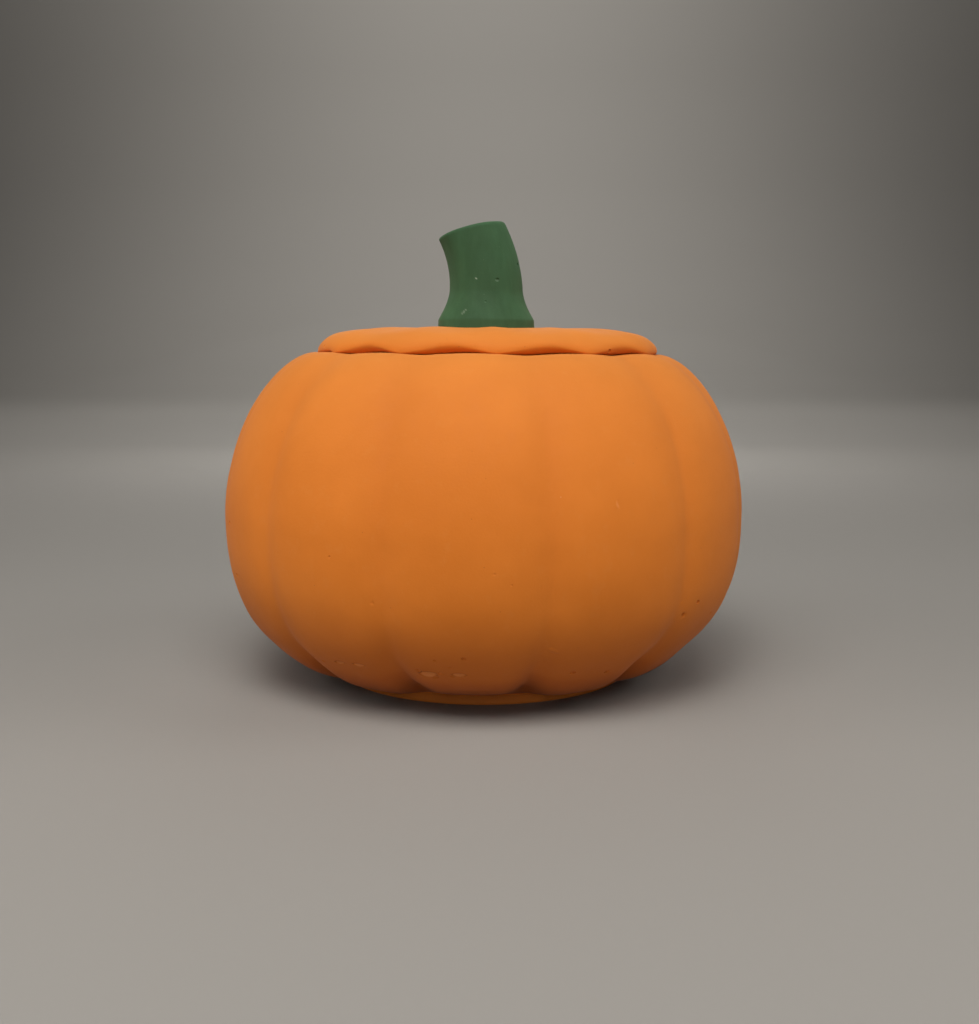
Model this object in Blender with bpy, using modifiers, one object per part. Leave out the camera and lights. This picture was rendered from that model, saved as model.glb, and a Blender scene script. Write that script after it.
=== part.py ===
"""A pumpkin-shaped jar of cast, pigmented plaster, with a scalloped lid and a green stem on it.

Run with: blender --background --python part.py
Metres, +Z up. The origin is the centre of the foot's underside, and the front faces -Y.
A bearing is an angle about +Z, from the front towards +X, in degrees.
"""

import math

import bmesh
import bpy
from mathutils import Matrix, Vector

# A superellipse's fullness: at 2 it is an ellipse, and above 2 it is squarer.
ROUND = 2.0

# Jar: widest at its lobes' crests, flat on top under the lid, on a low round foot.
JAR_RADIUS = 0.0500
JAR_HEIGHT = 0.0620
WAIST_HEIGHT = 0.0320
SHOULDER_RADIUS = 0.0330
SHOULDER_FULLNESS = 1.77
BELLY_RADIUS = 0.0185
BELLY_HEIGHT = 0.0023
BELLY_FULLNESS = 2.6
FOOT_RADIUS = 0.0290
FOOT_HEIGHT = 0.0016
FOOT_EDGE = 0.0004
FOOT_NECK_RADIUS = 0.0284

# Grooves between the jar's lobes: where each runs, and how deep it is along its way.
LOBES = 12
GROOVE_BEARING = -46.5
GROOVE_WANDER = (-1.8, -3.0, -0.9, 0.6, 0.4, -0.8, 0.9, -0.3, 1.1, -1.0, 0.2, -0.4)
GROOVE_SOFTNESS = 0.10
GROOVE_NARROWING = 3.2
GROOVE_NARROWING_BELLY = 1.7
GROOVE_DEPTH_WAIST = 0.0006
GROOVE_DEPTH_SHOULDER = 0.0006
GROOVE_DEPTH_BELLY = 0.0034
GROOVE_BELLY_END = 0.0255
GROOVE_TOP_RADII = (0.0300, 0.0360)
GROOVE_FOOT_RADII = (0.0287, 0.0390)

# Lean: the cast's top slopes down to +X and stands over that way, and its belly sits a little to -X.
TOP_LEAN = 0.0060
TOP_LEAN_SHIFT = 0.0004
BELLY_LEAN_SHIFT = 0.00035
BELLY_LEAN_HEIGHTS = (0.0023, 0.0085, 0.0180)

# Hollow: a round room in the jar, with a straight neck up through the rim.
MOUTH_RADIUS = 0.0240
MOUTH_EASING = 0.0008
HOLLOW_RADIUS = 0.0410
HOLLOW_CORNER = 0.0180
HOLLOW_FLOOR = 0.0080
HOLLOW_CEILING = 0.0550

# Lid: a low dome that rests on the rim, with a scalloped edge and a boss that finds the mouth.
GAP = 0.0003
LID_SHIFT = 0.0004
LID_RADIUS = 0.0328
LID_THICKNESS = 0.0048
LID_EDGE_RISE = 0.0007
LID_EDGE_INSET = 0.0018
LID_DOME_RADIUS = 0.0193
LID_DOME_FULLNESS = 2.05
LID_CREST_BEARING = 2.3
LID_PINCH = 0.0011
LID_TOP_DIP = 0.0003
LID_EDGE_LIFT = 0.0011
LID_LIFT_RADII = (0.0285, 0.0325)
BOSS_RADIUS = 0.0227
BOSS_DEPTH = 0.0025
BOSS_EDGE = 0.0006

# Stem: a fluted stalk that flares to a short straight band at its base and leans to -X.
STEM_BASE_RADIUS = 0.0090
STEM_NECK_RADIUS = 0.0067
STEM_TOP_RADIUS = 0.0064
STEM_BAND_HEIGHT = 0.0018
STEM_FLARE_HEIGHT = 0.0080
STEM_HEIGHT = 0.0190
STEM_EDGE = 0.0004
STEM_RIDGES = 6
STEM_RIDGE_BEARING = 32.0
STEM_FLUTE = 0.0005
STEM_TWIST = 9.0
STEM_BEND_START = 0.0070
STEM_BEND_RADIUS = 0.0260
STEM_CUT_SLOPE = 0.25
STEM_CUT_START = 0.0093

JAR_SEGMENTS = 96
LID_SEGMENTS = 96
STEM_SEGMENTS = 48
CURVE_STEPS = 11
BELLY_STEPS = 14
HOLLOW_STEPS = 8
EDGE_STEPS = 4
STEM_STEPS = 14

CAST_ORANGE = (0.78, 0.23, 0.035)
STEM_GREEN = (0.045, 0.115, 0.045)


def clear_scene():
    for thing in list(bpy.data.objects):
        bpy.data.objects.remove(thing)


def collection(name):
    made = bpy.data.collections.new(name)
    bpy.context.scene.collection.children.link(made)
    return made


def matt(name, colour, roughness):
    """A matt mineral finish in one colour."""
    made = bpy.data.materials.new(name)
    made.use_nodes = True
    shader = made.node_tree.nodes["Principled BSDF"]
    shader.inputs["Base Color"].default_value = (*colour, 1.0)
    shader.inputs["Roughness"].default_value = roughness
    shader.inputs["Metallic"].default_value = 0.0
    return made


def smooth_step(value, start, end):
    """0 up to start, 1 from end on, and a smooth rise between them."""
    share = min(max((value - start) / (end - start), 0.0), 1.0)
    return share * share * (3.0 - 2.0 * share)


def quarter(centre_radius, outer_radius, from_height, to_height, fullness, steps):
    """Points of a superellipse's quarter, from its end on the flat at to_height out to its widest."""
    points = []
    for step in range(steps + 1):
        angle = 0.5 * math.pi * (1.0 - step / steps)
        out = math.cos(angle) ** (2.0 / fullness)
        up = math.sin(angle) ** (2.0 / fullness)
        radius = centre_radius + (outer_radius - centre_radius) * out
        points.append((radius, from_height + (to_height - from_height) * up))
    return points


def turned(name, profile, segments, start_bearing=0.0):
    """A body turned about +Z from (radius, height) points that run down its outer side.

    One of its lines of points lies at start_bearing.
    """
    outline = bpy.data.meshes.new(name + "_outline")
    edges = [(place, place + 1) for place in range(len(profile) - 1)]
    outline.from_pydata([(radius, 0.0, height) for radius, height in profile], edges, [])
    guide = bpy.data.objects.new(name + "_outline", outline)
    bpy.context.scene.collection.objects.link(guide)
    screw = guide.modifiers.new("turn", "SCREW")
    screw.axis = "Z"
    screw.angle = math.tau
    screw.steps = segments
    screw.render_steps = segments
    screw.use_merge_vertices = True
    screw.merge_threshold = 0.00001
    graph = bpy.context.evaluated_depsgraph_get()
    mesh = bpy.data.meshes.new_from_object(guide.evaluated_get(graph))
    mesh.name = name
    bpy.data.objects.remove(guide)
    bpy.data.meshes.remove(outline)
    mesh.transform(Matrix.Rotation(math.radians(start_bearing - 90.0), 4, "Z"))
    body = bmesh.new()
    body.from_mesh(mesh)
    bmesh.ops.remove_doubles(body, verts=body.verts, dist=0.00001)
    body.to_mesh(mesh)
    body.free()
    return bpy.data.objects.new(name, mesh)


def finish(thing, owner, material, sharp_angle=50.0):
    owner.objects.link(thing)
    thing.data.materials.clear()
    thing.data.materials.append(material)
    thing.data.shade_smooth()
    thing.data.set_sharp_from_angle(angle=math.radians(sharp_angle))


def bearing_of(point):
    return math.degrees(math.atan2(point.x, -point.y))


def at(radius, bearing, height):
    turn = math.radians(bearing)
    return Vector((radius * math.sin(turn), -radius * math.cos(turn), height))


def between_lobes(bearing, first, softness):
    """1 on a line between two lobes, falling to 0 on the crest beside it."""
    off = abs(math.sin(math.radians(0.5 * LOBES * (bearing - first))))
    crest = math.sqrt(1.0 + softness**2)
    return (crest - math.sqrt(off**2 + softness**2)) / (crest - softness)


def wander(bearing):
    """How far the nearest grooves stand from an even spacing, blended between them."""
    place = (bearing - GROOVE_BEARING) * LOBES / 360.0
    before = math.floor(place)
    share = smooth_step(place - before, 0.0, 1.0)
    first = GROOVE_WANDER[before % LOBES]
    second = GROOVE_WANDER[(before + 1) % LOBES]
    return first + (second - first) * share


def jar_normal(radius, height):
    """The outward direction of the plain turned jar at a point of its profile, as (out, up)."""
    if height >= WAIST_HEIGHT:
        centre, fullness, rise = SHOULDER_RADIUS, SHOULDER_FULLNESS, JAR_HEIGHT - WAIST_HEIGHT
    else:
        centre, fullness, rise = BELLY_RADIUS, BELLY_FULLNESS, BELLY_HEIGHT - WAIST_HEIGHT
    out = max(radius - centre, 0.0) / (JAR_RADIUS - centre)
    up = (height - WAIST_HEIGHT) / rise
    out_slope = out ** (fullness - 1.0) / (JAR_RADIUS - centre)
    up_slope = max(up, 0.0) ** (fullness - 1.0) / rise
    return Vector((out_slope, up_slope)).normalized()


def groove_shape(bearing, height):
    """1 along a groove and 0 on the crests: wide under the belly, and a narrower crease higher up."""
    wide = between_lobes(bearing, GROOVE_BEARING, GROOVE_SOFTNESS)
    under = 1.0 - smooth_step(height, BELLY_HEIGHT, GROOVE_BELLY_END)
    return wide ** (GROOVE_NARROWING + (GROOVE_NARROWING_BELLY - GROOVE_NARROWING) * under)


def groove_depth(radius, height):
    if height >= WAIST_HEIGHT:
        share = smooth_step(height, WAIST_HEIGHT, JAR_HEIGHT)
        depth = GROOVE_DEPTH_WAIST + (GROOVE_DEPTH_SHOULDER - GROOVE_DEPTH_WAIST) * share
        return depth * smooth_step(radius, *GROOVE_TOP_RADII)
    share = 1.0 - smooth_step(height, BELLY_HEIGHT, GROOVE_BELLY_END)
    depth = GROOVE_DEPTH_WAIST + (GROOVE_DEPTH_BELLY - GROOVE_DEPTH_WAIST) * share
    return depth * smooth_step(radius, *GROOVE_FOOT_RADII)


def settled(point):
    """The point moved as the cast leans."""
    high = smooth_step(point.z, WAIST_HEIGHT, JAR_HEIGHT)
    start, middle, end = BELLY_LEAN_HEIGHTS
    low = smooth_step(point.z, start, middle) * (1.0 - smooth_step(point.z, middle, end))
    across = TOP_LEAN_SHIFT * high - BELLY_LEAN_SHIFT * low
    return point + Vector((across, 0.0, -TOP_LEAN * point.x * high))


def jar(owner, cutters, material):
    """The lobed jar, hollowed by a round cutter that leaves about 8 mm of wall."""
    top = quarter(SHOULDER_RADIUS, JAR_RADIUS, WAIST_HEIGHT, JAR_HEIGHT, SHOULDER_FULLNESS, CURVE_STEPS)
    low = quarter(BELLY_RADIUS, JAR_RADIUS, WAIST_HEIGHT, BELLY_HEIGHT, BELLY_FULLNESS, BELLY_STEPS)
    low = [point for point in low if point[0] > GROOVE_FOOT_RADII[0]]
    foot = [
        (FOOT_NECK_RADIUS, FOOT_HEIGHT + FOOT_EDGE),
        (FOOT_RADIUS - FOOT_EDGE, FOOT_HEIGHT),
        (FOOT_RADIUS, FOOT_HEIGHT - FOOT_EDGE),
        (FOOT_RADIUS, FOOT_EDGE),
        (FOOT_RADIUS - FOOT_EDGE, 0.0),
        (0.0, 0.0),
    ]
    profile = [(0.0, JAR_HEIGHT)] + top + low[::-1][1:] + foot
    body = turned("jar", profile, JAR_SEGMENTS, GROOVE_BEARING)
    for vertex in body.data.vertices:
        radius = math.hypot(vertex.co.x, vertex.co.y)
        height = vertex.co.z
        if height < BELLY_HEIGHT:
            continue
        bearing = bearing_of(vertex.co)
        depth = groove_depth(radius, height) * groove_shape(bearing, height)
        out, up = jar_normal(radius, height)
        placed = at(radius - depth * out, bearing + wander(bearing), height - depth * up)
        vertex.co = settled(placed)
    above = JAR_HEIGHT + FOOT_HEIGHT
    ceiling = quarter(HOLLOW_CORNER, HOLLOW_RADIUS, WAIST_HEIGHT, HOLLOW_CEILING, ROUND, HOLLOW_STEPS)
    floor = quarter(HOLLOW_CORNER, HOLLOW_RADIUS, WAIST_HEIGHT, HOLLOW_FLOOR, ROUND, HOLLOW_STEPS)
    inside = [
        (0.0, above),
        (MOUTH_RADIUS + 2.0 * MOUTH_EASING, above),
        (MOUTH_RADIUS + MOUTH_EASING, JAR_HEIGHT),
        (MOUTH_RADIUS, JAR_HEIGHT - MOUTH_EASING),
    ]
    inside += [point for point in ceiling if point[0] > MOUTH_RADIUS]
    inside += floor[::-1][1:] + [(0.0, HOLLOW_FLOOR)]
    hollow = turned("hollow", inside, JAR_SEGMENTS // 2)
    cutters.objects.link(hollow)
    hollow.hide_render = True
    hollow.display_type = "WIRE"
    cut = body.modifiers.new("hollow", "BOOLEAN")
    cut.operation = "DIFFERENCE"
    cut.object = hollow
    finish(body, owner, material)


def lid(owner, material):
    """A low dome with a rounded edge, pinched in and lifted off the jar between its scallops."""
    under = JAR_HEIGHT + GAP
    top = under + LID_THICKNESS
    edge = under + LID_EDGE_RISE
    dome = quarter(LID_DOME_RADIUS, LID_RADIUS, edge, top, LID_DOME_FULLNESS, CURVE_STEPS)
    turn_under = quarter(LID_RADIUS - LID_EDGE_INSET, LID_RADIUS, edge, under, ROUND, EDGE_STEPS)
    boss = [
        (LID_LIFT_RADII[0], under),
        (BOSS_RADIUS, under),
        (BOSS_RADIUS, under - BOSS_DEPTH + BOSS_EDGE),
        (BOSS_RADIUS - BOSS_EDGE, under - BOSS_DEPTH),
        (0.0, under - BOSS_DEPTH),
    ]
    profile = [(0.0, top), (STEM_BASE_RADIUS + STEM_EDGE, top)] + dome + turn_under[::-1][1:] + boss
    body = turned("lid", profile, LID_SEGMENTS, LID_CREST_BEARING)
    for vertex in body.data.vertices:
        radius = math.hypot(vertex.co.x, vertex.co.y)
        height = vertex.co.z
        if radius < STEM_BASE_RADIUS + 2.0 * STEM_EDGE or height < under - STEM_EDGE:
            continue
        bearing = bearing_of(vertex.co)
        off_crest = math.sin(math.radians(0.5 * LOBES * (bearing - LID_CREST_BEARING))) ** 2
        pinch = LID_PINCH * off_crest * smooth_step(radius, LID_LIFT_RADII[0], LID_RADIUS)
        dip = LID_TOP_DIP * off_crest * smooth_step(radius, STEM_BASE_RADIUS, LID_DOME_RADIUS)
        lift = LID_EDGE_LIFT * off_crest * smooth_step(radius, *LID_LIFT_RADII)
        share = smooth_step(height, under, top)
        move = lift * (1.0 - share) - dip * share
        vertex.co = at(radius - pinch, bearing, height + move)
    for vertex in body.data.vertices:
        vertex.co = settled(vertex.co + Vector((LID_SHIFT, 0.0, 0.0)))
    finish(body, owner, material)


def stem_radius(height):
    """The stem's radius above its band: a hollow flare up to the neck, then nearly straight."""
    flare = 1.0 - min((height - STEM_BAND_HEIGHT) / (STEM_FLARE_HEIGHT - STEM_BAND_HEIGHT), 1.0)
    shaft = STEM_NECK_RADIUS + (STEM_TOP_RADIUS - STEM_NECK_RADIUS) * height / STEM_HEIGHT
    return shaft + (STEM_BASE_RADIUS - STEM_NECK_RADIUS) * flare**2


def bent(point):
    """The point carried along an arc that leaves the upright at STEM_BEND_START and leans to -X."""
    beyond = point.z - STEM_BEND_START
    if beyond <= 0.0:
        return point.copy()
    turn = beyond / STEM_BEND_RADIUS
    reach = STEM_BEND_RADIUS + point.x
    along = reach * math.cos(turn) - STEM_BEND_RADIUS
    return Vector((along, point.y, STEM_BEND_START + reach * math.sin(turn)))


def stem(owner, material):
    """The stalk, turned, fluted and bent, and cut on a slant across its leaning top."""
    shaft = []
    for step in range(STEM_STEPS + 1):
        share = 1.0 - step / STEM_STEPS
        height = STEM_BAND_HEIGHT + (STEM_HEIGHT - STEM_EDGE - STEM_BAND_HEIGHT) * share
        shaft.append((stem_radius(height), height))
    profile = [(0.0, STEM_HEIGHT), (STEM_TOP_RADIUS - STEM_EDGE, STEM_HEIGHT)] + shaft
    profile += [(STEM_BASE_RADIUS, STEM_EDGE), (STEM_BASE_RADIUS - STEM_EDGE, 0.0), (0.0, 0.0)]
    body = turned("stem", profile, STEM_SEGMENTS, STEM_RIDGE_BEARING)
    foot = JAR_HEIGHT + GAP + LID_THICKNESS + GAP
    for vertex in body.data.vertices:
        radius = math.hypot(vertex.co.x, vertex.co.y)
        height = vertex.co.z
        bearing = bearing_of(vertex.co)
        share = smooth_step(height, STEM_BAND_HEIGHT, STEM_FLARE_HEIGHT)
        off_ridge = math.sin(math.radians(0.5 * STEM_RIDGES * (bearing - STEM_RIDGE_BEARING))) ** 2
        flute = STEM_FLUTE * share * off_ridge * radius / STEM_TOP_RADIUS
        point = at(radius - flute, bearing - STEM_TWIST * height / STEM_HEIGHT, height)
        point.z -= STEM_CUT_SLOPE * point.x * smooth_step(height, STEM_CUT_START, STEM_HEIGHT)
        vertex.co = settled(bent(point) + Vector((LID_SHIFT, 0.0, foot)))
    finish(body, owner, material, sharp_angle=40.0)


def main():
    clear_scene()
    parts = collection("pumpkin_jar")
    cutters = collection("cutters")
    orange = matt("cast orange", CAST_ORANGE, 0.85)
    green = matt("stem green", STEM_GREEN, 0.8)
    jar(parts, cutters, orange)
    lid(parts, orange)
    stem(parts, green)


main()
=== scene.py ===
"""A pumpkin-shaped jar of cast, coloured plaster, with a loose scalloped lid and a green stem on it.

Metres, +Z up. The origin is the centre of the foot's underside, and the front faces -Y.
A bearing is an angle about +Z, from the front towards +X, in degrees.
"""

import math
import random

import bmesh
import bpy
from mathutils import Matrix, Vector, kdtree, noise


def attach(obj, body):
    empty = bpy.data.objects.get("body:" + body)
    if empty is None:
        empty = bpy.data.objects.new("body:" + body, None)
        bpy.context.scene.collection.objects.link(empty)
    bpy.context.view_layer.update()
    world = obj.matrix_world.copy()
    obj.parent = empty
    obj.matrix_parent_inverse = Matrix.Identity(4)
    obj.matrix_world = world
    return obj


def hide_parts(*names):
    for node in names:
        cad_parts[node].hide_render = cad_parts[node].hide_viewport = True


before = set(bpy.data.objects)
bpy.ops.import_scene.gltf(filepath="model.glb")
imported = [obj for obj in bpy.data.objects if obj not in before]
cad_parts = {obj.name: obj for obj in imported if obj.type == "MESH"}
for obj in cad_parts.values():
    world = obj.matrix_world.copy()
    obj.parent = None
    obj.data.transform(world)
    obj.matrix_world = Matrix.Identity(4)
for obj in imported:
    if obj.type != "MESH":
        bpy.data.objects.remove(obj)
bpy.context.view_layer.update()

# Jar: a squat vessel with twelve soft grooves and a low round foot, hollow, with about 8 mm of wall.
# It is poured in a mould from a dense plaster that is coloured orange all through, and left bare.
# Air that the pour caught shows as small holes, most of them in a row where the belly turns under.
jar_radius = 0.0500
jar_height = 0.0620
waist_height = 0.0320
shoulder_radius = 0.0330
shoulder_fullness = 1.77
belly_radius = 0.0185
belly_height = 0.0023
belly_fullness = 2.6
belly_drop = 0.0007
belly_drop_heights = (0.0030, 0.0100)
side_drop = 0.0008
side_drop_bearings = (8.0, 26.0)
side_drop_heights = (0.0028, 0.0038, 0.0042, 0.0090)
foot_radius = 0.0284
foot_height = 0.0016
foot_edge = 0.0005
foot_top_radius = 0.0280
foot_neck = (0.0277, 0.0018)
lobes = 12
groove_bearing = -46.5
groove_wander = (-1.8, -3.0, -0.9, 0.6, 0.4, -0.8, 0.9, -0.3, 1.1, -1.0, 0.2, -0.4)
groove_softness = 0.07
groove_softness_belly = 0.16
groove_softness_rim = 0.32
groove_narrowing = 2.4
groove_narrowing_belly = 2.9
groove_narrowing_top = 1.1
groove_depth_waist = 0.0007
groove_depth_shoulder = 0.0007
groove_depth_belly = 0.0017
groove_belly_end = 0.0190
groove_top_radii = (0.0242, 0.0275)
groove_rim_radii = (0.0325, 0.0370)
groove_rim_share = 0.5
groove_foot_radii = (0.0284, 0.0345)
top_lean = 0.0060
top_lean_shift = 0.00040
belly_lean_shift = 0.00035
belly_lean_heights = (0.0023, 0.0085, 0.0180)
mouth_radius = 0.0240
mouth_easing = 0.0008
hollow_radius = 0.0410
hollow_corner = 0.0180
hollow_floor = 0.0080
hollow_ceiling = 0.0550
jar_segments = 384
jar_spacing = 0.00078
hollow_spacing = 0.0045
edge_steps = 5
# The foot is painted paler as painted light.
foot_painted_light = 0.30
# The grooves, the belly's bottom and its underside are painted darker as shade.
groove_tint = 0.10
low_painted_shade = 0.85
low_shade_heights = (0.0030, 0.0240)
underside_painted_shade = 1.3
underside_shade_heights = (0.0030, 0.0085)
hole_refining = (0.0009, 0.0005, 0.0002)
hole_roundness = 0.6
hole_lip = 0.05
hole_lip_width = 0.3
chip_width = 0.0010
chip_slope = 0.9
chip_slope_loss = 0.3
chip_turn = 0.2
# Painted shadow in the upper part of a chipped hole and on the lip above it.
chip_shade = 3.0
chip_lip_shade = 2.2


def place(radius, bearing, height):
    turn = math.radians(bearing)
    return Vector((radius * math.sin(turn), -radius * math.cos(turn), height))


def bearing_of(point):
    return math.degrees(math.atan2(point.x, -point.y))


def eased(value, start, end):
    """0 up to start, 1 from end on, and a smooth rise between them."""
    share = min(max((value - start) / (end - start), 0.0), 1.0)
    return share * share * (3.0 - 2.0 * share)


def swell(centre_radius, outer_radius, from_height, to_height, fullness):
    """Points of a superellipse's quarter, from its end on the flat at to_height out to its widest.

    A fullness of 2 gives an ellipse, and more of it a squarer curve.
    """
    points = []
    for step in range(401):
        angle = 0.5 * math.pi * (1.0 - step / 400)
        out = math.cos(angle) ** (2.0 / fullness)
        up = math.sin(angle) ** (2.0 / fullness)
        radius = centre_radius + (outer_radius - centre_radius) * out
        points.append((radius, from_height + (to_height - from_height) * up))
    return points


def rounded(centre, size, start, end):
    """Points round the edge of a rim, from one angle to another in degrees, out being 0 and up 90."""
    angles = [math.radians(start + (end - start) * step / edge_steps) for step in range(edge_steps + 1)]
    return [(centre[0] + size * math.cos(angle), centre[1] + size * math.sin(angle)) for angle in angles]


def evenly(points, spacing):
    """The same line, with its points about one spacing apart."""
    lengths = [0.0]
    for first, second in zip(points, points[1:]):
        lengths.append(lengths[-1] + math.dist(first, second))
    count = max(round(lengths[-1] / spacing), 1)
    even, at = [], 0
    for step in range(count + 1):
        along = lengths[-1] * step / count
        while at < len(points) - 2 and lengths[at + 1] < along:
            at += 1
        share = (along - lengths[at]) / max(lengths[at + 1] - lengths[at], 1e-12)
        even.append(tuple(a + (b - a) * share for a, b in zip(points[at], points[at + 1])))
    return even


def turned(profile, segments, start_bearing):
    """A closed shape turned about +Z from (radius, height, skin) points that stand at start_bearing.

    The skin layer is 1 on the side that the mould shaped and 0 elsewhere. The others start at 0 for a
    piece to fill. The second layer says how dark a point is painted as shade: in the grooves, toward the
    belly's bottom and between the stem's ribs up to 1, and under the belly and in chipped holes from there
    to 3. The third says how pale it is: dust, scuffs and pale grains, painted light on the foot, and
    painted highlight along with bare plaster on chipped slopes.
    """
    shape = bmesh.new()
    skin = shape.verts.layers.float.new("skin")
    shape.verts.layers.float.new("groove")
    shape.verts.layers.float.new("dust_and_painted_light")
    line = []
    for radius, height, on_skin in profile:
        line.append(shape.verts.new(place(radius, start_bearing, height)))
        line[-1][skin] = on_skin
    edges = [shape.edges.new(pair) for pair in zip(line, line[1:])]
    bmesh.ops.spin(
        shape, geom=line + edges, cent=(0, 0, 0), axis=(0, 0, 1), dvec=(0, 0, 0),
        angle=math.tau, steps=segments, use_merge=True, use_duplicate=False,
    )
    bmesh.ops.remove_doubles(shape, verts=shape.verts, dist=1e-6)
    bmesh.ops.recalc_face_normals(shape, faces=shape.faces)
    return shape


def between_lobes(bearing, first, softness):
    """1 on a line between two lobes, falling to 0 on the crest beside it."""
    off = abs(math.sin(math.radians(0.5 * lobes * (bearing - first))))
    crest = math.sqrt(1.0 + softness**2)
    return (crest - math.sqrt(off**2 + softness**2)) / (crest - softness)


def groove_shape(bearing, height):
    """1 at a groove's foot and 0 on the lobes: a crease on the side, wide and round at the rim, and
    narrow with a round foot under the belly.
    """
    under = 1.0 - eased(height, belly_height, groove_belly_end)
    over = eased(height, 0.5 * (waist_height + jar_height), jar_height)
    softness = groove_softness + (groove_softness_belly - groove_softness) * under
    softness += (groove_softness_rim - softness) * over
    wide = between_lobes(bearing, groove_bearing, softness)
    narrowing = groove_narrowing + (groove_narrowing_belly - groove_narrowing) * under
    return wide ** (narrowing + (groove_narrowing_top - groove_narrowing) * over)


def wander(bearing):
    """How far the nearest grooves stand from an even spacing, blended between them."""
    spot = (bearing - groove_bearing) * lobes / 360.0
    before = math.floor(spot)
    first = groove_wander[before % lobes]
    second = groove_wander[(before + 1) % lobes]
    return first + (second - first) * eased(spot - before, 0.0, 1.0)


def lowered(bearing, height):
    """The height on the belly, whose underside is flatter than the plain curve, least on the front lobe."""
    low, lower, upper, high = side_drop_heights
    beside = eased(abs(bearing), *side_drop_bearings) * eased(height, low, lower)
    beside *= 1.0 - eased(height, upper, high)
    return height - belly_drop * (1.0 - eased(height, *belly_drop_heights)) - side_drop * beside


def jar_slope(radius, height):
    """The outward direction of the plain turned jar at a point of its side, as (out, up)."""
    if height >= waist_height:
        centre, fullness, rise = shoulder_radius, shoulder_fullness, jar_height - waist_height
    else:
        centre, fullness, rise = belly_radius, belly_fullness, belly_height - waist_height
    out = max(radius - centre, 0.0) / (jar_radius - centre)
    up = (height - waist_height) / rise
    out_slope = out ** (fullness - 1.0) / (jar_radius - centre)
    up_slope = max(up, 0.0) ** (fullness - 1.0) / rise
    return Vector((out_slope, up_slope)).normalized()


def groove_depth(radius, height):
    if height >= waist_height:
        share = eased(height, waist_height, jar_height)
        depth = groove_depth_waist + (groove_depth_shoulder - groove_depth_waist) * share
        rim = groove_rim_share + (1.0 - groove_rim_share) * eased(radius, *groove_rim_radii)
        return depth * rim * eased(radius, *groove_top_radii)
    share = 1.0 - eased(height, belly_height, groove_belly_end)
    depth = groove_depth_waist + (groove_depth_belly - groove_depth_waist) * share
    return depth * eased(radius, *groove_foot_radii)


def settled(point):
    """The point with the cast's lean: its top falls to the right, and its belly sits a bit to the left."""
    high = eased(point.z, waist_height, jar_height)
    start, middle, end = belly_lean_heights
    low = eased(point.z, start, middle) * (1.0 - eased(point.z, middle, end))
    return point + Vector((top_lean_shift * high - belly_lean_shift * low, 0.0, -top_lean * point.x * high))


def unevenness(point):
    """The small swells that a hand-finished mould leaves on a cast, in metres."""
    broad = 0.00011 * noise.noise(point * 85.0)
    close = 0.00004 * noise.noise(point * 240.0 + Vector((5.0, 3.0, 1.0)))
    fine = 0.000012 * noise.noise(point * 900.0)
    return broad + close + fine


def open_holes(shape, holes):
    """Sinks air holes into a shape. Each is (point, half width, half height, depth, tilt in degrees).

    The wide ones are chipped open downwards: their lower slope is painted pale, as bare plaster and as
    painted highlight, and their upper part and the lip above it are painted dark as shadow.
    A negative depth raises a low bump instead.
    """
    tree = kdtree.KDTree(len(holes))
    for index, hole in enumerate(holes):
        tree.insert(hole[0], index)
    tree.balance()
    largest = max(hole[1] for hole in holes)
    for reach in hole_refining:
        near = set()
        for vert in shape.verts:
            for point, index, distance in tree.find_range(vert.co, largest + reach):
                if distance < holes[index][1] + reach:
                    near.add(vert)
                    break
        edges = [edge for edge in shape.edges if edge.verts[0] in near and edge.verts[1] in near]
        bmesh.ops.subdivide_edges(shape, edges=edges, cuts=1, use_grid_fill=True)
    shape.normal_update()
    shape.verts.ensure_lookup_table()
    verts = kdtree.KDTree(len(shape.verts))
    for index, vert in enumerate(shape.verts):
        verts.insert(vert.co, index)
    verts.balance()
    moves = {}
    bare_and_highlight = {}
    shaded = {}
    for point, half_width, half_height, depth, tilt in holes:
        centre, nearest, _ = verts.find(point)
        inward = -shape.verts[nearest].normal.normalized()
        across = Vector((0, 0, 1)).cross(inward)
        across = across.normalized() if across.length > 0.05 else Vector((1, 0, 0))
        across.rotate(Matrix.Rotation(math.radians(tilt), 3, inward))
        along = inward.cross(across)
        chipped = min(half_width / chip_width, 1.0) ** 2 if depth > 0.0 else 0.0
        outer = 1.0 + hole_lip_width
        for spot, index, distance in verts.find_range(centre, outer * max(half_width, half_height)):
            offset = spot - centre
            share = math.hypot(offset.dot(across) / half_width, offset.dot(along) / half_height)
            upper = eased(offset.dot(along) / half_height, -chip_turn, chip_turn)
            move = moves.get(index, Vector())
            if share < 1.0:
                slope = 1.0 + chipped * (chip_slope * offset.dot(along) / half_height - chip_slope_loss)
                moves[index] = move + inward * depth * slope * (1.0 - share**2) ** hole_roundness
                # Painted highlight on a chip's lower slope, with its bare plaster, and painted shadow on
                # its upper part.
                bare_and_highlight[index] = chipped * min(2.0 * (1.0 - share**2), 1.0) * (1.0 - upper)
                shaded[index] = chip_shade * chipped * upper
            elif share < outer:
                lip = hole_lip * depth * math.sin(math.pi * (share - 1.0) / hole_lip_width)
                moves[index] = move - inward * lip
                # Painted shadow on the lip above a chip.
                shaded[index] = chip_lip_shade * chipped * upper * (outer - share) / hole_lip_width
    groove = shape.verts.layers.float["groove"]
    dust_and_painted_light = shape.verts.layers.float["dust_and_painted_light"]
    for index, move in moves.items():
        vert = shape.verts[index]
        vert.co += move
        vert[dust_and_painted_light] = max(vert[dust_and_painted_light], bare_and_highlight.get(index, 0.0))
        vert[groove] = max(vert[groove], shaded.get(index, 0.0))


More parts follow.
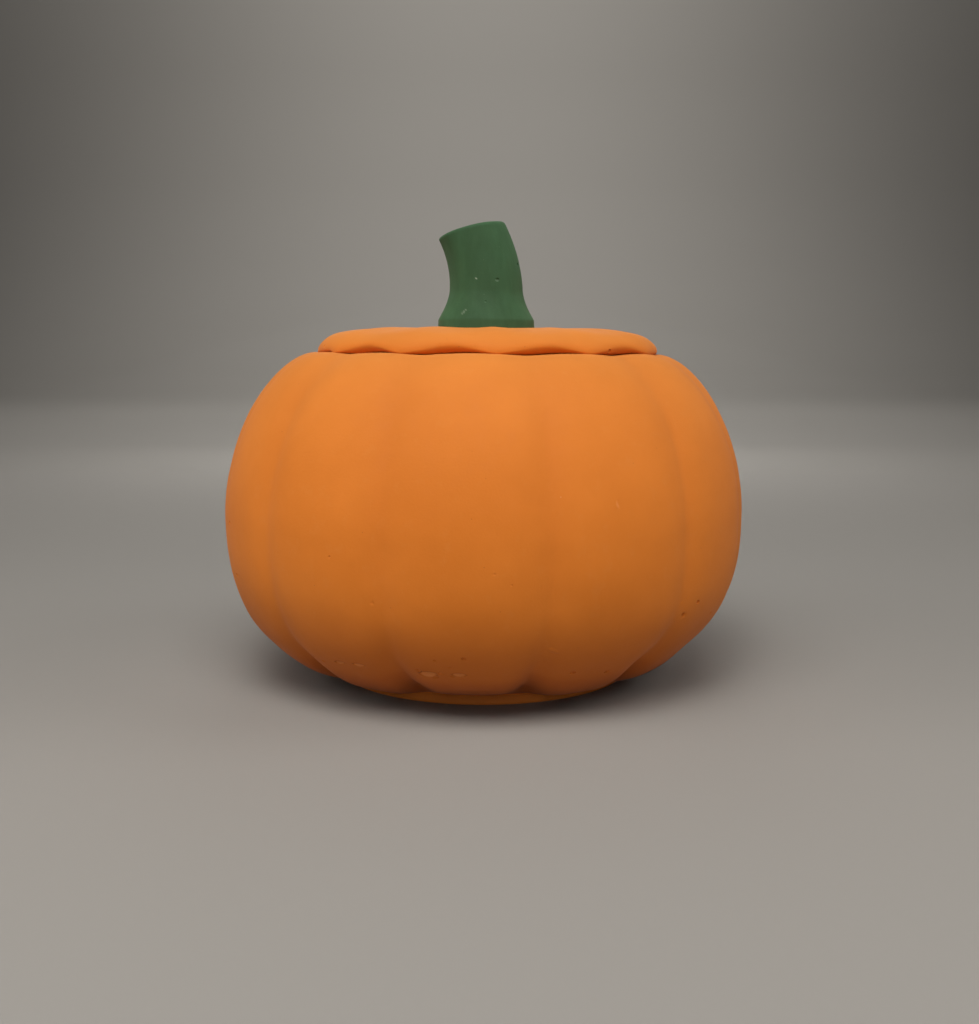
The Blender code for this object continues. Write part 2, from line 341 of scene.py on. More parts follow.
def piece(name, shape, material, nodes):
    """Finishes a shape as an object of the scene that stands for CAD nodes and rides with the jar.

    A layer it adds says how far up each point faces: the orange plaster paints what faces up duller and
    greyer with it, as a film of dust and as painted shade on the lit tops.
    """
    shape.normal_update()
    up_dust_and_painted_shade = shape.verts.layers.float.new("up_dust_and_painted_shade")
    for vert in shape.verts:
        vert[up_dust_and_painted_shade] = max(vert.normal.z, 0.0) ** 1.5
    mesh = bpy.data.meshes.new(name)
    shape.to_mesh(mesh)
    shape.free()
    mesh.materials.append(material)
    mesh.shade_smooth()
    made = bpy.data.objects.new(name, mesh)
    bpy.context.scene.collection.objects.link(made)
    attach(made, "root")
    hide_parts(*nodes)


def node(tree, kind, **values):
    """A shader node. A value named after a setting sets it, and others go to the input of that name."""
    made = tree.nodes.new(kind)
    for name, value in values.items():
        if hasattr(made, name):
            setattr(made, name, value)
        else:
            made.inputs[name.replace("_", " ")].default_value = value
    return made


def tone(tree, factor, first, second):
    """A colour mix, whose first, second and factor are each a socket or a plain value."""
    mix = tree.nodes.new("ShaderNodeMix")
    mix.data_type = "RGBA"
    for socket, value in ((mix.inputs[0], factor), (mix.inputs[6], first), (mix.inputs[7], second)):
        if isinstance(value, bpy.types.NodeSocket):
            tree.links.new(value, socket)
        else:
            socket.default_value = value
    return mix.outputs[2]


def banded(tree, value, low, high, to_low, to_high):
    """A socket's value carried from one range to another, held at its ends."""
    made = node(tree, "ShaderNodeMapRange", From_Min=low, From_Max=high, To_Min=to_low, To_Max=to_high)
    tree.links.new(value, made.inputs["Value"])
    return made.outputs["Result"]


def grain(tree, where, scale, detail, roughness):
    made = node(tree, "ShaderNodeTexNoise", Scale=scale, Detail=detail, Roughness=roughness)
    tree.links.new(where, made.inputs["Vector"])
    return made.outputs["Fac"]


def specks(tree, where, scale, size, share):
    """1 inside small round specks and 0 between: size is their radius, and share of the cells have one."""
    cells = node(tree, "ShaderNodeTexVoronoi", Scale=scale)
    tree.links.new(where, cells.inputs["Vector"])
    inside = banded(tree, cells.outputs["Distance"], size * scale * 0.7, size * scale, 1.0, 0.0)
    channels = node(tree, "ShaderNodeSeparateColor")
    tree.links.new(cells.outputs["Color"], channels.inputs["Color"])
    chosen = banded(tree, channels.outputs["Red"], share, share + 0.001, 1.0, 0.0)
    both = node(tree, "ShaderNodeMath", operation="MULTIPLY")
    tree.links.new(inside, both.inputs[0])
    tree.links.new(chosen, both.inputs[1])
    return both.outputs["Value"]


def cast_plaster():
    """Bare plaster coloured right through: clouds of pigment, a close grain, pin pores and pale flecks.

    What faces up is painted duller and greyer, as a film of dust and as painted shade on the lit tops.
    Two layers darken the rest with painted shade and pale it with dust and scuffs, with painted light on
    the foot and with painted highlight on chipped slopes. The pin pores are painted dark as their shade.
    """
    made = bpy.data.materials.new("cast orange plaster")
    made.use_nodes = True
    tree = made.node_tree
    shader = tree.nodes["Principled BSDF"]
    shader.inputs["Specular IOR Level"].default_value = 0.34
    shader.inputs["Diffuse Roughness"].default_value = 0.3
    shader.inputs["Sheen Weight"].default_value = 0.04
    where = tree.nodes.new("ShaderNodeTexCoord").outputs["Object"]
    clouds = grain(tree, where, 55.0, 4.0, 0.55)
    deep = (0.735, 0.200, 0.013, 1)
    light = (0.790, 0.223, 0.018, 1)
    colour = tone(tree, banded(tree, clouds, 0.35, 0.65, 0.0, 1.0), deep, light)
    close = grain(tree, where, 420.0, 5.0, 0.65)
    colour = tone(tree, banded(tree, close, 0.55, 0.75, 0.0, 0.10), colour, (0.82, 0.36, 0.12, 1))
    # What faces up is painted duller and greyer: a film of dust, and painted shade on the lit tops.
    up_dust_and_painted_shade = node(tree, "ShaderNodeAttribute", attribute_name="up_dust_and_painted_shade")
    up_dulling_share = banded(tree, up_dust_and_painted_shade.outputs["Fac"], 0.0, 1.0, 0.0, 0.20)
    colour = tone(tree, up_dulling_share, colour, (0.30, 0.235, 0.075, 1))
    # Painted shade: darker in the grooves and toward the belly's bottom, and darker still under the belly
    # and in chipped holes.
    low = node(tree, "ShaderNodeAttribute", attribute_name="groove")
    low_shade_share = banded(tree, low.outputs["Fac"], 0.0, 1.0, 0.0, 0.75)
    colour = tone(tree, low_shade_share, colour, (0.46, 0.095, 0.008, 1))
    underside_shade_share = banded(tree, low.outputs["Fac"], 1.0, 3.0, 0.0, 0.9)
    colour = tone(tree, underside_shade_share, colour, (0.22, 0.045, 0.006, 1))
    # Paler with dust and scuffs, painted light on the foot and painted highlight on chipped slopes.
    dust_and_painted_light = node(tree, "ShaderNodeAttribute", attribute_name="dust_and_painted_light")
    dust_and_light_share = banded(tree, dust_and_painted_light.outputs["Fac"], 0.0, 1.0, 0.0, 0.62)
    colour = tone(tree, dust_and_light_share, colour, (0.90, 0.35, 0.10, 1))
    flecks = specks(tree, where, 330.0, 0.00014, 0.05)
    colour = tone(tree, banded(tree, flecks, 0.0, 1.0, 0.0, 0.22), colour, (0.90, 0.60, 0.36, 1))
    # Pin pores: sunk by the bump, and painted dark as their shade.
    pores = specks(tree, where, 460.0, 0.00013, 0.22)
    colour = tone(tree, banded(tree, pores, 0.0, 1.0, 0.0, 0.35), colour, (0.40, 0.085, 0.010, 1))
    tree.links.new(colour, shader.inputs["Base Color"])
    sandy = grain(tree, where, 2600.0, 3.0, 0.6)
    sunk = node(tree, "ShaderNodeMath", operation="SUBTRACT")
    tree.links.new(sandy, sunk.inputs[0])
    tree.links.new(pores, sunk.inputs[1])
    bump = node(tree, "ShaderNodeBump", Strength=0.35, Distance=0.00008)
    tree.links.new(sunk.outputs["Value"], bump.inputs["Height"])
    tree.links.new(bump.outputs["Normal"], shader.inputs["Normal"])
    tree.links.new(banded(tree, close, 0.3, 0.7, 0.74, 0.84), shader.inputs["Roughness"])
    return made


orange = cast_plaster()

inside = [(0.0, hollow_floor)] + swell(hollow_corner, hollow_radius, waist_height, hollow_floor, 2.0)
inside += swell(hollow_corner, hollow_radius, waist_height, hollow_ceiling, 2.0)[::-1]
inside = [point for point in inside if point[1] < waist_height or point[0] > mouth_radius]
inside = evenly(inside, hollow_spacing) + [(mouth_radius, jar_height - mouth_easing)]
rim = rounded((mouth_radius + mouth_easing, jar_height - mouth_easing), mouth_easing, 180, 90)
shoulder = swell(shoulder_radius, jar_radius, waist_height, jar_height, shoulder_fullness)
shoulder = evenly(shoulder, jar_spacing)
land = evenly([rim[-1], shoulder[0]], jar_spacing)
belly = swell(belly_radius, jar_radius, waist_height, belly_height, belly_fullness)[::-1]
belly = evenly([point for point in belly if point[0] > groove_foot_radii[0]], jar_spacing)
foot = [foot_neck] + rounded((foot_top_radius - foot_edge, foot_height - foot_edge), foot_edge, 90, 10)
foot += rounded((foot_radius - foot_edge, foot_edge), foot_edge, 10, -90)
underside = evenly([(foot_radius - foot_edge, 0.0), (0.0, 0.0)], hollow_spacing)[1:]
profile = [(*point, 0.0) for point in inside + rim[1:]]
profile += [(*point, 1.0) for point in land[1:] + shoulder[1:] + belly[1:]]
profile += [(*point, 0.0) for point in foot + underside]
jar = turned(profile, jar_segments, groove_bearing)

skin = jar.verts.layers.float["skin"]
groove = jar.verts.layers.float["groove"]
dust_and_painted_light = jar.verts.layers.float["dust_and_painted_light"]
for vert in jar.verts:
    radius, height, bearing = math.hypot(vert.co.x, vert.co.y), vert.co.z, bearing_of(vert.co)
    if vert[skin] < 0.5:
        # The foot is painted paler as painted light.
        vert[dust_and_painted_light] = foot_painted_light if height < foot_neck[1] else 0.0
        continue
    shape = groove_shape(bearing, height)
    depth = groove_depth(radius, height) * shape
    depth -= unevenness(vert.co) * eased(radius, *groove_top_radii) * eased(radius, *groove_foot_radii)
    out, up = jar_slope(radius, height)
    # Painted shade: darker in the grooves and toward the belly's bottom, and darkest under it.
    shade_toward_bottom = 1.0 - eased(height, *low_shade_heights)
    in_groove = groove_tint * shape * eased(radius, *groove_foot_radii)
    vert[groove] = max(in_groove, low_painted_shade * shade_toward_bottom)
    vert[groove] += underside_painted_shade * (1.0 - eased(height, *underside_shade_heights))
    vert.co = place(radius - depth * out, bearing + wander(bearing), lowered(bearing, height - depth * up))
for vert in jar.verts:
    vert.co = settled(vert.co)


def jar_point(bearing, height):
    """The point of the jar's side at a bearing and a height, before its grooves and its lean."""
    if height >= waist_height:
        up = (height - waist_height) / (jar_height - waist_height)
        out = (1 - up**shoulder_fullness) ** (1 / shoulder_fullness)
        return place(shoulder_radius + (jar_radius - shoulder_radius) * out, bearing, height)
    up = (waist_height - height) / (waist_height - belly_height)
    out = (1 - up**belly_fullness) ** (1 / belly_fullness)
    return place(belly_radius + (jar_radius - belly_radius) * out, bearing, lowered(bearing, height))


# Each hole is its bearing, then its height, half width, half height and depth in millimetres, and its
# tilt. Those with a negative depth are low bumps, and the last three are the shallow bed of a scuff.
front_holes = (
    (-42.9, 9.6, 0.35, 0.18, 0.15, -40), (-39.6, 9.3, 0.45, 0.30, 0.20, 0),
    (-34.0, 9.8, 1.10, 0.42, 0.52, -4), (-28.6, 9.9, 1.15, 0.42, 0.50, 6),
    (-9.9, 12.3, 0.28, 0.24, 0.22, 0), (-3.8, 12.8, 0.42, 0.38, 0.38, 10),
    (-12.0, 9.1, 1.60, 0.85, 0.80, -3), (-9.0, 9.6, 0.55, 0.45, 0.30, 0),
    (-5.0, 9.3, 1.20, 0.50, 0.56, 5), (-14.3, 9.9, 0.45, 0.34, 0.22, 0),
    (-6.9, 11.0, 0.24, 0.22, 0.15, 0), (-13.9, 9.6, 0.55, 0.30, 0.34, 25),
    (-10.4, 8.7, 0.62, 0.34, 0.36, -24), (-6.6, 9.0, 0.42, 0.26, 0.28, 30),
    (21.2, 8.9, 0.54, 0.48, 0.60, 0), (31.0, 8.3, 0.52, 0.40, 0.50, 0),
    (49.9, 19.2, 0.44, 0.42, 0.42, 0), (46.2, 17.2, 0.44, 0.42, 0.42, 0),
    (59.6, 15.8, 0.34, 0.32, 0.25, 0), (44.6, 19.6, 0.22, 0.22, 0.15, 0),
    (46.0, 20.6, 0.20, 0.20, 0.12, 0), (14.6, 13.4, 1.10, 0.50, -0.10, 30),
    (13.2, 12.0, 0.50, 0.80, -0.08, 0), (-30.0, 29.3, 0.20, 0.20, 0.18, 0),
    (-21.5, 21.9, 0.22, 0.22, 0.20, 0), (2.0, 27.5, 0.18, 0.18, 0.09, 0),
    (5.1, 25.7, 0.20, 0.18, 0.09, 0), (25.9, 38.5, 0.16, 0.40, 0.03, 0),
    (25.8, 37.9, 0.16, 0.40, 0.03, 0), (25.7, 37.3, 0.16, 0.40, 0.03, 0),
)
# Round the back the holes go on in the same way: clusters along the row, and others scattered above it.
row_bearings = (74, 81, 97, 118, 126, 149, 163, 171, 188, 203, 226, 241, 248, 262, 279, 291)
row_height = 0.0097
row_scatter = (2.4, 0.0007)
row_half_widths = (0.25, 0.85)
row_half_heights = (0.24, 0.45)
row_tilt = 12
scattered_holes = 34
scattered_half_widths = (0.16, 0.46)
scattered_bearings = (66, 300)
scattered_top = 0.058
scattered_drop = 0.046
# A short pale scuff shows high on the lobe to the right of the front one.
scuff_place = (25.8, 0.0379)
scuff_lean = 0.3
scuff_shortening = 0.35
scuff_paleness = 0.7
scuff_edge = (0.0001, 0.0003)

holes = []
for bearing, height, *sizes, tilt in front_holes:
    spot = settled(jar_point(bearing, height / 1000))
    holes.append((spot, *(0.001 * size for size in sizes), tilt))
pour = random.Random(7)
for centre in row_bearings:
    for _ in range(pour.randint(1, 4)):
        wide = pour.uniform(*row_half_widths)
        sizes = (wide, min(wide, pour.uniform(*row_half_heights)), 0.45 * min(wide, 0.7))
        spot = jar_point(centre + pour.gauss(0, row_scatter[0]), row_height + pour.gauss(0, row_scatter[1]))
        holes.append((spot, *(0.001 * size for size in sizes), pour.uniform(-row_tilt, row_tilt)))
for _ in range(scattered_holes):
    wide = pour.uniform(*scattered_half_widths)
    bearing = pour.uniform(*scattered_bearings)
    spot = jar_point(bearing, scattered_top - scattered_drop * pour.random() ** 0.6)
    holes.append((spot, 0.001 * wide, 0.0009 * wide, 0.0009 * wide, 0))
open_holes(jar, holes)
for vert in jar.verts:
    away = vert.co - jar_point(*scuff_place)
    streak = math.hypot(away.x + scuff_lean * away.z, away.y, scuff_shortening * away.z)
    vert[dust_and_painted_light] = max(vert[dust_and_painted_light], scuff_paleness * (1.0 - eased(streak, *scuff_edge)))
piece("cast_jar", jar, orange, ["jar"])

# Lid: a low dome of the same orange plaster, with an edge that is pinched in and lifted between its
# scallops. It only rests on the jar's rim, and a round boss under it finds the mouth. The stem
# hides its middle, and a few air holes show at its edge.
lid_sunk = 0.00006
lid_shift = 0.0005
lid_radius = 0.0328
lid_thickness = 0.00475
lid_edge_rise = 0.0014
lid_edge_inset = 0.0016
lid_crest_drop = 0.0013
lid_dome_radius = 0.0193
lid_dome_fullness = 2.05
lid_crest_bearing = 2.3
lid_full_bearings = (60.0, 68.0, 82.0, 90.0)
lid_full_share = 0.6
lid_pinch = 0.0010
lid_pinch_narrowing = 1.5
lid_top_dip = 0.0003
lid_edge_lift = 0.0003
lid_lift_radii = (0.0285, 0.0325)
lid_middle = 0.0098
lid_under_droop = 0.1
lid_swells = Vector((0.3, 0.1, 0.2))
boss_radius = 0.0227
boss_depth = 0.0025
boss_edge = 0.0006
lid_segments = 384
lid_spacing = 0.00055
lid_edge_spacing = 0.00025
lid_top_spacing = 0.0012
boss_spacing = 0.003

lid_under = jar_height - lid_sunk
lid_top = lid_under + lid_thickness
lid_edge = lid_under + lid_edge_rise
dome = evenly(swell(lid_dome_radius, lid_radius, lid_edge, lid_top, lid_dome_fullness), lid_spacing)
turn_under = swell(lid_radius - lid_edge_inset, lid_radius, lid_edge, lid_under, 2.0)
turn_under = evenly(turn_under, lid_edge_spacing)[::-1]
flat_top = evenly([(0.0, lid_top), dome[0]], lid_top_spacing)
flat_under = evenly([turn_under[-1], (boss_radius, lid_under)], lid_spacing)
boss = [(boss_radius, lid_under - boss_depth + boss_edge)]
boss += rounded((boss_radius - boss_edge, lid_under - boss_depth + boss_edge), boss_edge, 0, -90)[1:]
boss += evenly([boss[-1], (0.0, lid_under - boss_depth)], boss_spacing)[1:]
profile = [(*point, 1.0) for point in flat_top + dome[1:] + turn_under[1:] + flat_under[1:-1]]
profile += [(*point, 0.0) for point in flat_under[-1:] + boss]
lid = turned(profile, lid_segments, lid_crest_bearing)

skin = lid.verts.layers.float["skin"]
for vert in lid.verts:
    radius, height, bearing = math.hypot(vert.co.x, vert.co.y), vert.co.z, bearing_of(vert.co)
    if vert[skin] < 0.5 or radius < lid_middle:
        continue
    side = eased(abs(bearing), *lid_full_bearings[:2]) * (1.0 - eased(abs(bearing), *lid_full_bearings[2:]))
    between = abs(math.sin(math.radians(0.5 * lobes * (bearing - lid_crest_bearing))))
    off_crest = between**lid_pinch_narrowing * (1.0 - lid_full_share * side)
    pinch = lid_pinch * off_crest * eased(radius, lid_lift_radii[0], lid_radius)
    dip = lid_top_dip * off_crest * eased(radius, lid_middle, lid_dome_radius)
    lift = lid_edge_lift * off_crest * eased(radius, *lid_lift_radii)
    share = eased(height, lid_under, lid_top)
    droop = lid_crest_drop * (1.0 - off_crest) * eased(radius, *lid_lift_radii)
    droop *= min((height - lid_under) / lid_edge_rise, 1.0) * (1.0 - share) + lid_under_droop
    swells = unevenness(vert.co + lid_swells) * eased(radius, lid_middle, lid_dome_radius) * share
    dip_below = groove_depth(radius, jar_height) * groove_shape(bearing - wander(bearing), jar_height)
    sag = dip_below * (1.0 - share) * eased(radius, boss_radius, lid_lift_radii[0])
    raised = height + lift * (1.0 - share) - dip * share
    vert.co = place(radius - pinch, bearing, raised - droop - sag + swells)


def lid_point(radius, bearing):
    """The point of the plain lid's dome at a radius and a bearing."""
    out = max(radius - lid_dome_radius, 0.0) / (lid_radius - lid_dome_radius)
    up = (1 - out**lid_dome_fullness) ** (1 / lid_dome_fullness)
    return place(radius, bearing, lid_edge + (lid_top - lid_edge) * up)


# Two holes at the edge in front, and the others scattered over the back.
holes = [
    (place(0.0318, 41.3, 0.0626), 0.00040, 0.00034, 0.00034, 0),
    (place(0.0322, -69.5, 0.0632), 0.00034, 0.00030, 0.00028, 0),
]
lid_back_holes = 16
lid_hole_half_widths = (0.14, 0.36)
lid_hole_radii = (0.0150, 0.0322)
lid_hole_bearings = (80, 290)
for _ in range(lid_back_holes):
    wide = 0.001 * pour.uniform(*lid_hole_half_widths)
    spot = lid_point(pour.uniform(*lid_hole_radii), pour.uniform(*lid_hole_bearings))
    holes.append((spot, wide, 0.9 * wide, 0.9 * wide, 0))
open_holes(lid, holes)
for vert in lid.verts:
    vert.co = settled(vert.co + Vector((lid_shift, 0.0, 0.0)))
piece("cast_lid", lid, orange, ["lid"])

# Stem: a stubby stalk with six soft ribs, which flares to a short upright band at its base, leans to
# the left and is cut on a slant. It is cast apart from the lid, painted a flat grey-green and stuck
# to the lid's middle, and its paint has a few pale grains and pits in it.
stem_shift = 0.00014
stem_base_radius = 0.0097
stem_neck_radius = 0.0071
stem_top_radius = 0.0060
stem_band_height = 0.0017
stem_flare_height = 0.0073
stem_flare_fullness = 1.63
stem_softness = 0.00085
stem_height = 0.01965
stem_edge = 0.0007
stem_foot_edge = 0.00012
stem_sunk = 0.00010
stem_ridges = 6
stem_ridge_bearing = 32.0
stem_flute = 0.00020
stem_twist = 9.0
stem_bend_start = 0.0070
stem_bend_radius = 0.0261
stem_cut_slope = 0.24
stem_cut_start = 0.0101
stem_top_dish = 0.0003
stem_roughness = 0.7
stem_swell_scale = 1.6
stem_swells = Vector((0.7, 0.2, 0.9))
stem_segments = 168
stem_spacing = 0.00027
cut_spacing = 0.0004
base_spacing = 0.002


def stem_radius(height):
    """The stem's radius: a short band that rounds over into a hollow flare, then a slow taper."""
    flare = 1.0 - min(max((height - stem_band_height) / (stem_flare_height - stem_band_height), 0.0), 1.0)
    shaft = stem_neck_radius + (stem_top_radius - stem_neck_radius) * height / stem_height
    grown = shaft + (stem_base_radius - stem_neck_radius) * flare**stem_flare_fullness
    kept = 0.5 * (grown + stem_base_radius - math.hypot(grown - stem_base_radius, stem_softness))
    return kept + 0.5 * stem_softness * eased(height, stem_band_height, stem_flare_height)


def bent(point):
    """The point carried along an arc that leaves the upright at stem_bend_start and leans to -X."""
    beyond = point.z - stem_bend_start
    if beyond <= 0.0:
        return point.copy()
    turn = beyond / stem_bend_radius
    reach = stem_bend_radius + point.x
    out = reach * math.cos(turn) - stem_bend_radius
    return Vector((out, point.y, stem_bend_start + reach * math.sin(turn)))


def between_ribs(bearing):
    """0 on a rib of the stem and 1 midway to the next."""
    return math.sin(math.radians(0.5 * stem_ridges * (bearing - stem_ridge_bearing))) ** 2


def stem_point(radius, bearing, height):
    """Where a point of the plain turned stem comes to lie: fluted, twisted, cut on a slant and bent."""
    share = eased(height, stem_band_height, stem_flare_height)
    flute = stem_flute * share * between_ribs(bearing) * radius / stem_top_radius
    point = place(radius - flute, bearing - stem_twist * height / stem_height, height)
    point.z -= stem_cut_slope * point.x * eased(height, stem_cut_start, stem_height)
    return settled(bent(point) + Vector((stem_shift, 0.0, lid_top - stem_sunk)))


def green_paint():
    """Flat grey-green paint, brushed thin: soft changes of tone up the stalk, and a sandy surface.

    It is painted a little darker between the ribs as shade, and a layer shows pale grains in it.
    """
    made = bpy.data.materials.new("flat green paint")
    made.use_nodes = True
    tree = made.node_tree
    shader = tree.nodes["Principled BSDF"]
    shader.inputs["Specular IOR Level"].default_value = 0.25
    shader.inputs["Diffuse Roughness"].default_value = 0.8
    shader.inputs["Sheen Weight"].default_value = 0.05
    where = tree.nodes.new("ShaderNodeTexCoord").outputs["Object"]
    drawn_out = node(tree, "ShaderNodeMapping", Scale=(1.0, 1.0, 0.25))
    tree.links.new(where, drawn_out.inputs["Vector"])
    strokes = grain(tree, drawn_out.outputs["Vector"], 420.0, 4.0, 0.6)
    deep = (0.039, 0.103, 0.040, 1)
    light = (0.050, 0.127, 0.052, 1)
    colour = tone(tree, banded(tree, strokes, 0.35, 0.65, 0.0, 1.0), deep, light)
    clouds = grain(tree, where, 160.0, 3.0, 0.5)
    colour = tone(tree, banded(tree, clouds, 0.45, 0.7, 0.0, 0.3), colour, (0.058, 0.138, 0.070, 1))
    # Painted shade between the ribs.
    low = node(tree, "ShaderNodeAttribute", attribute_name="groove")
    rib_shade_share = banded(tree, low.outputs["Fac"], 0.0, 1.0, 0.0, 0.15)
    colour = tone(tree, rib_shade_share, colour, (0.030, 0.074, 0.028, 1))
    flecks = specks(tree, where, 700.0, 0.00011, 0.10)
    colour = tone(tree, banded(tree, flecks, 0.0, 1.0, 0.0, 0.30), colour, (0.16, 0.26, 0.15, 1))
    dust_and_painted_light = node(tree, "ShaderNodeAttribute", attribute_name="dust_and_painted_light")
    colour = tone(tree, dust_and_painted_light.outputs["Fac"], colour, (0.42, 0.52, 0.38, 1))
    tree.links.new(colour, shader.inputs["Base Color"])
    sandy = grain(tree, where, 3200.0, 3.0, 0.6)
    bump = node(tree, "ShaderNodeBump", Strength=0.4, Distance=0.00007)
    tree.links.new(sandy, bump.inputs["Height"])
    tree.links.new(bump.outputs["Normal"], shader.inputs["Normal"])
    tree.links.new(banded(tree, clouds, 0.3, 0.7, 0.70, 0.80), shader.inputs["Roughness"])
    return made


shaft = []
for step in range(401):
    height = stem_foot_edge + (stem_height - stem_edge - stem_foot_edge) * step / 400
    shaft.append((stem_radius(height), height))
shaft = evenly(shaft, stem_spacing)[::-1]
top_edge = rounded((shaft[0][0] - stem_edge, stem_height - stem_edge), stem_edge, 90, 0)
cut = evenly([(0.0, stem_height), top_edge[0]], cut_spacing)
low_edge = rounded((shaft[-1][0] - stem_foot_edge, stem_foot_edge), stem_foot_edge, 0, -90)
base = evenly([low_edge[-1], (0.0, 0.0)], base_spacing)
profile = [(*point, 1.0) for point in cut + top_edge[1:-1] + shaft + low_edge[1:]]
profile += [(*point, 0.0) for point in base[1:]]
stem = turned(profile, stem_segments, stem_ridge_bearing)

groove = stem.verts.layers.float["groove"]
dust_and_painted_light = stem.verts.layers.float["dust_and_painted_light"]
for vert in stem.verts:
    radius, height, bearing = math.hypot(vert.co.x, vert.co.y), vert.co.z, bearing_of(vert.co)
    on_cut = height > stem_height - 0.5 * stem_edge
    dish = stem_top_dish * (1.0 - eased(radius, 0.0, stem_top_radius - stem_edge)) if on_cut else 0.0
    rough = stem_roughness * unevenness(vert.co * stem_swell_scale + stem_swells)
    rough *= eased(height, 0.0, stem_band_height)
    # Painted shade between the ribs.
    vert[groove] = between_ribs(bearing) * eased(height, stem_band_height, stem_flare_height)
    vert.co = stem_point(radius + (0.0 if on_cut else rough), bearing, height - dish)

holes = [
    (stem_point(stem_radius(0.0089), 22.0, 0.0089), 0.00040, 0.00036, 0.00016, 0),
    (stem_point(stem_radius(0.0112), 78.0, 0.0112), 0.00036, 0.00042, 0.00030, 0),
    (stem_point(stem_radius(0.0050), 1.0, 0.0050), 0.00026, 0.00026, 0.00010, 0),
    (stem_point(stem_radius(0.0120), 160.0, 0.0120), 0.00034, 0.00036, 0.00028, 0),
    (stem_point(stem_radius(0.0062), 215.0, 0.0062), 0.00040, 0.00030, 0.00028, 0),
    (stem_point(stem_radius(0.0100), 262.0, 0.0100), 0.00028, 0.00028, 0.00022, 0),
]
open_holes(stem, holes)
pale_grains = (
    (stem_point(stem_radius(0.0095), -11.0, 0.0095), 0.00022, 0.95),
    (stem_point(stem_radius(0.0028), -29.5, 0.0028), 0.00026, 0.30),
    (stem_point(stem_radius(0.0031), -27.8, 0.0031), 0.00028, 0.36),
    (stem_point(stem_radius(0.0034), -26.1, 0.0034), 0.00024, 0.36),
    (stem_point(stem_radius(0.0095), 190.0, 0.0095), 0.00024, 0.80),
    (stem_point(stem_radius(0.0130), 120.0, 0.0130), 0.00022, 0.60),
)
for vert in stem.verts:
    for spot, size, strength in pale_grains:
        vert[dust_and_painted_light] = max(vert[dust_and_painted_light], strength * (1.0 - eased((vert.co - spot).length, 0.5 * size, size)))
piece("painted_stem", stem, green_paint(), ["stem"])

# Floor: a plain pale sheet that runs back and curves up behind, as on a studio table. Not part of the jar.
floor_half_width = 3.0
curve_start = 1.6
curve_radius = 0.6
curve_turns = (0.3, 0.6, 0.9, 1.2, math.pi / 2)
back_height = 2.4

sweep = bmesh.new()
section = [(distance, 0.0) for distance in (-2.5, -1.0, 0.0, 1.0, curve_start)]
for turn in curve_turns:
    back = curve_start + curve_radius * math.sin(turn)
    section.append((back, curve_radius - curve_radius * math.cos(turn)))
section.append((curve_start + curve_radius, back_height))
line = [sweep.verts.new((-floor_half_width, *point)) for point in section]
edges = [sweep.edges.new(pair) for pair in zip(line, line[1:])]
grown = bmesh.ops.extrude_edge_only(sweep, edges=edges)
far_side = [part for part in grown["geom"] if isinstance(part, bmesh.types.BMVert)]
bmesh.ops.translate(sweep, verts=far_side, vec=(2.0 * floor_half_width, 0.0, 0.0))
bmesh.ops.recalc_face_normals(sweep, faces=sweep.faces)
sheet = bpy.data.meshes.new("floor")
sweep.to_mesh(sheet)
sweep.free()
sheet.shade_smooth()
paper = bpy.data.materials.new("pale paper")
paper.use_nodes = True
shader = paper.node_tree.nodes["Principled BSDF"]
shader.inputs["Base Color"].default_value = (0.31, 0.295, 0.27, 1.0)
shader.inputs["Roughness"].default_value = 0.9
sheet.materials.append(paper)
floor = bpy.data.objects.new("floor", sheet)
bpy.context.scene.collection.objects.link(floor)


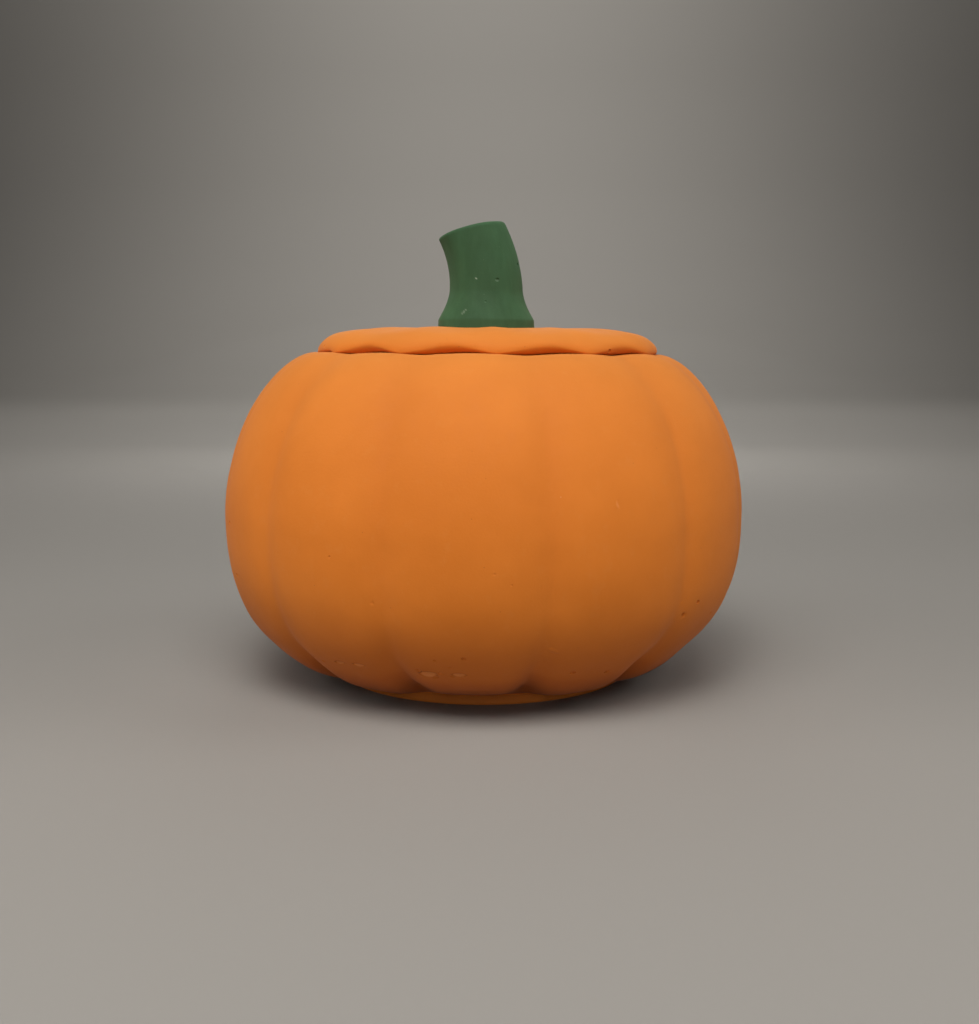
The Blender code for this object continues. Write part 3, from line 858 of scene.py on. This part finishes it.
def softbox(name, bearing, height, distance, size, power, towards=(0.0, 0.0, 0.04), spread=180.0):
    """A square area light at a bearing and an angle above the floor, which faces a point."""
    level = distance * math.cos(math.radians(height))
    spot = Vector(towards) + place(level, bearing, distance * math.sin(math.radians(height)))
    lamp = bpy.data.lights.new(name, "AREA")
    lamp.size = size
    lamp.energy = power
    lamp.color = (1.0, 0.98, 0.96)
    lamp.spread = math.radians(spread)
    made = bpy.data.objects.new(name, lamp)
    made.location = spot
    made.rotation_euler = (Vector(towards) - spot).to_track_quat("-Z", "Y").to_euler()
    bpy.context.scene.collection.objects.link(made)


# Light: two soft lights side by side from the upper front, close to the jar, two dim ones lower down in
# front of it, one at each side and one behind it, and five that light the paper at the back evenly.
# None of them is part of the jar.
softbox("key", 5.0, 55.0, 0.45, 0.25, 0.90)
softbox("second key", -25.0, 55.0, 0.45, 0.25, 0.90)
softbox("front", 0.0, 35.0, 0.50, 0.25, 0.13)
softbox("low front", 0.0, 10.0, 0.60, 0.25, 0.30)
softbox("right side", 80.0, 35.0, 0.50, 0.25, 0.54)
softbox("left side", -74.0, 30.0, 0.53, 0.25, 0.46)
softbox("behind", 180.0, 20.0, 0.55, 0.25, 0.30)
softbox("floor just behind", 0.0, 90.0, 1.10, 0.30, 0.25, (0.0, 0.5, 0.0), 40.0)
softbox("floor further back", 0.0, 90.0, 1.30, 0.80, 1.25, (0.0, 0.9, 0.0), 50.0)
softbox("floor far back", 0.0, 90.0, 1.30, 0.80, 3.0, (0.0, 1.5, 0.0), 100.0)
softbox("low backdrop", 0.0, 10.0, 1.20, 0.80, 3.75, (0.0, 2.2, 0.8), 120.0)
softbox("high backdrop", 0.0, 35.0, 1.20, 0.80, 3.6, (0.0, 2.2, 1.2), 120.0)
room = bpy.data.worlds.new("room")
room.use_nodes = True
room.node_tree.nodes["Background"].inputs["Color"].default_value = (0.95, 0.97, 1.0, 1.0)
room.node_tree.nodes["Background"].inputs["Strength"].default_value = 0.02
bpy.context.scene.world = room
bpy.context.scene.view_settings.view_transform = "Standard"

# Camera: close in front, level with the jar's rim and looking slightly down.
lens = bpy.data.cameras.new("camera")
lens.lens = 43.165
lens.clip_start = 0.01
lens.clip_end = 10.0
camera = bpy.data.objects.new("camera", lens)
camera.location = (0.0, -0.2400, 0.0622)
camera.rotation_euler = (math.radians(90.0 - 7.418), 0.0, math.radians(-0.282))
bpy.context.scene.collection.objects.link(camera)
bpy.context.scene.camera = camera
